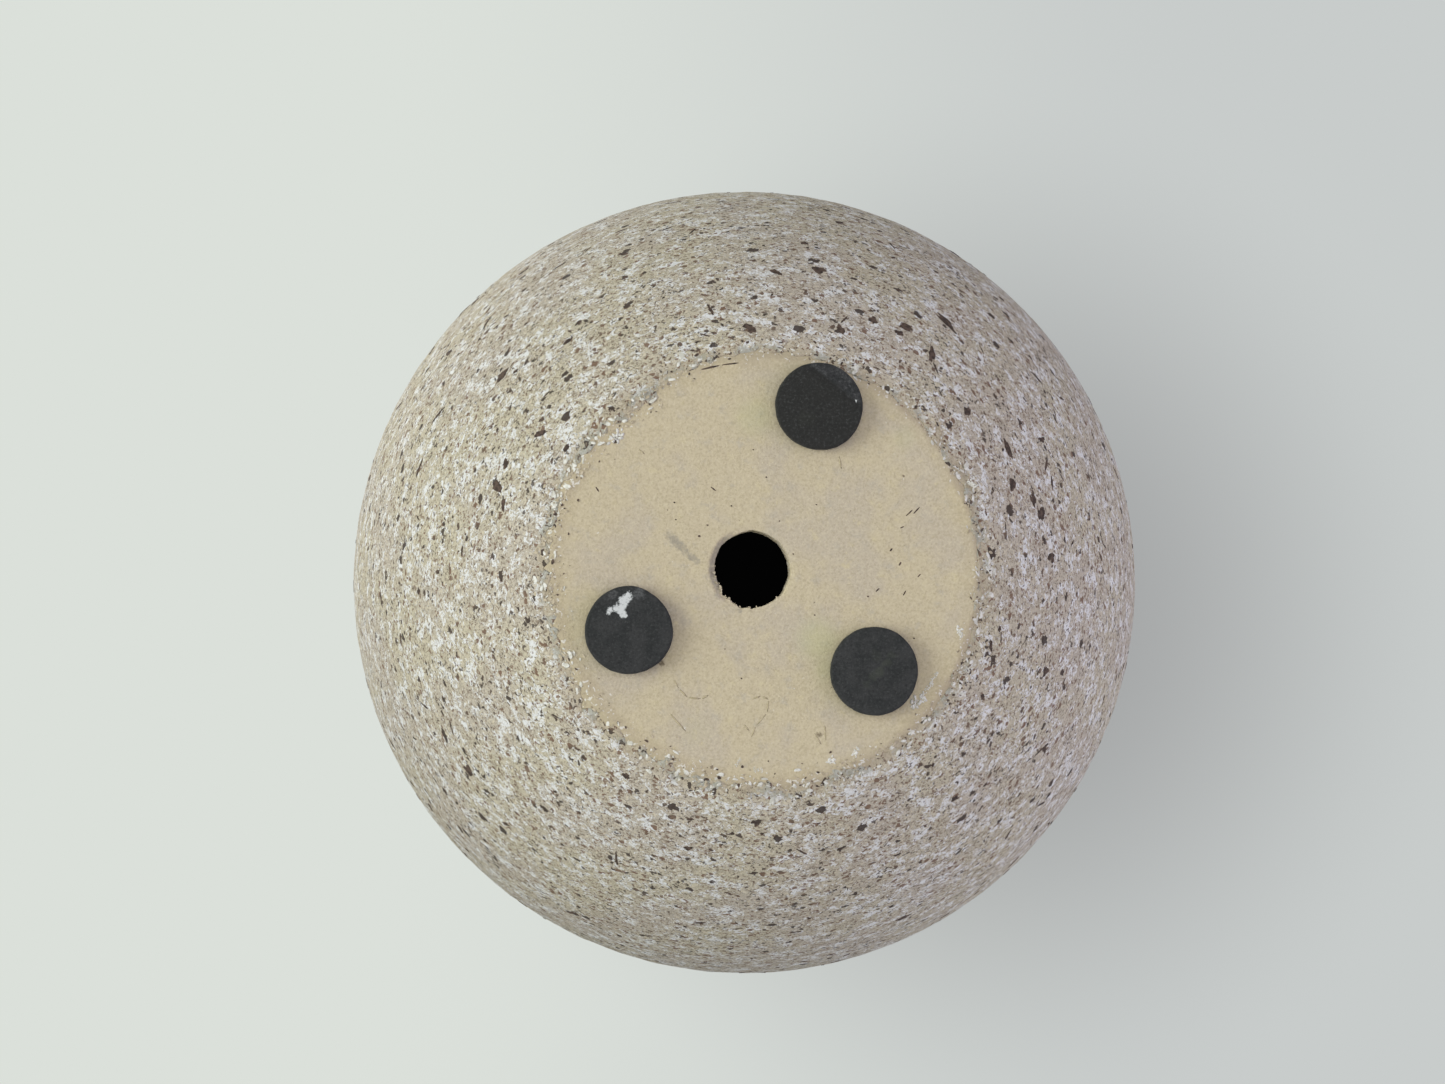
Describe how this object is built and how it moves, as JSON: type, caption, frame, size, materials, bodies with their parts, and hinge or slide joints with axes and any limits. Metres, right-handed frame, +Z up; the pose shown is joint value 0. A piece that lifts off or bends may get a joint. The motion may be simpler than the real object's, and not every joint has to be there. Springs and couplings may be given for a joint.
{
  "type": "ball planter",
  "caption": "Ball-shaped clay planter with a speckled stone-effect coat, a round open mouth, a flat bare base with a drain hole, and stick-on foam feet.",
  "frame": {"origin": "on the surface that the planter stands on, under the centre of the ball", "axes": "+Z up along the ball's axis, out of the mouth; the feet face -Z"},
  "size_m": [0.125, 0.125, 0.1],
  "materials": {
    "fired_clay": "unglazed, matte cream-tan",
    "stone_effect_coat": "sprayed, gritty, matte, with white and dark flecks",
    "foam": "die-cut closed-cell foam, matte charcoal",
    "adhesive_film": "thin tacky film"
  },
  "bodies": {
    "root": {"pot_body": "fired_clay", "speckle_coat": "stone_effect_coat", "foot_pad_1": "foam", "foot_pad_2": "foam", "foot_pad_3": "foam", "pad_adhesive_1": "adhesive_film", "pad_adhesive_2": "adhesive_film", "pad_adhesive_3": "adhesive_film"}
  },
  "joints": []
}
